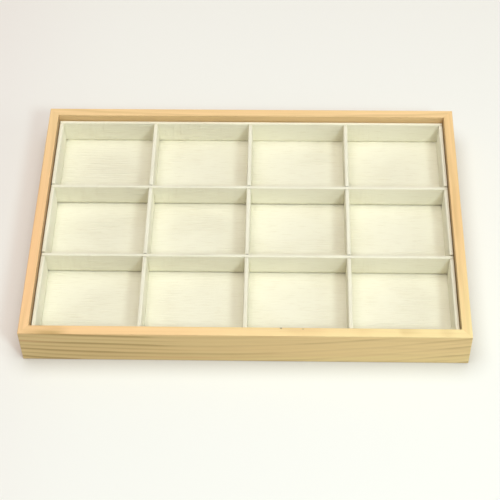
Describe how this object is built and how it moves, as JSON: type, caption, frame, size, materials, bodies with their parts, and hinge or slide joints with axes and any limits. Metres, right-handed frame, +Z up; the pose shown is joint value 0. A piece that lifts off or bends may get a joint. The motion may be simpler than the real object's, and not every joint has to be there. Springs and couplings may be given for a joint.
{
  "type": "mineral specimen box",
  "caption": "Shallow open pine tray with a cloth-covered drop-in insert, whose cross-lapped dividers make a grid of compartments for mineral specimens.",
  "frame": {"origin": "middle of the underside, on the plane that the rails stand on", "axes": "+Z up, +X to the right along the width, -Y towards the front rail"},
  "size_m": [0.35, 0.24, 0.035],
  "materials": {
    "pine": "bare planed softwood, matte, fine long grain",
    "plywood": "bare plywood face veneer, matte",
    "brad_steel": "plain wire brads, slightly dull",
    "greyboard": "unprinted greyboard, matte fibre",
    "linen": "cream plain-weave cloth with fine slubs, glued down"
  },
  "bodies": {
    "case": {"front_rail": "pine", "back_rail": "pine", "left_rail": "pine", "right_rail": "pine", "base_panel": "plywood", "base_brads": "brad_steel"},
    "insert": {"floor_board": "greyboard", "floor_cover": "linen", "back_lining_board": "greyboard", "back_lining_cover": "linen", "front_lining_board": "greyboard", "front_lining_cover": "linen", "left_lining_rear_board": "greyboard", "left_lining_rear_cover": "linen", "left_lining_middle_board": "greyboard", "left_lining_middle_cover": "linen", "left_lining_front_board": "greyboard", "left_lining_front_cover": "linen", "right_lining_rear_board": "greyboard", "right_lining_rear_cover": "linen", "right_lining_middle_board": "greyboard", "right_lining_middle_cover": "linen", "right_lining_front_board": "greyboard", "right_lining_front_cover": "linen"},
    "divider_grid": {"left_divider_board": "greyboard", "left_divider_cover": "linen", "centre_divider_board": "greyboard", "centre_divider_cover": "linen", "right_divider_board": "greyboard", "right_divider_cover": "linen"},
    "rear_long_divider": {"rear_long_divider_board": "greyboard", "rear_long_divider_cover": "linen"},
    "front_long_divider": {"front_long_divider_board": "greyboard", "front_long_divider_cover": "linen"}
  },
  "joints": [
    {"name": "insert_lift", "type": "slide", "parent": "case", "child": "insert", "axis": [0, 0, 1], "range_m": [0, 0.035]},
    {"name": "grid_lift", "type": "slide", "parent": "insert", "child": "divider_grid", "axis": [0, 0, 1], "range_m": [0, 0.03]},
    {"name": "rear_divider_lift", "type": "slide", "parent": "divider_grid", "child": "rear_long_divider", "axis": [0, 0, 1], "range_m": [0, 0.03]},
    {"name": "front_divider_lift", "type": "slide", "parent": "divider_grid", "child": "front_long_divider", "axis": [0, 0, 1], "range_m": [0, 0.03]}
  ]
}
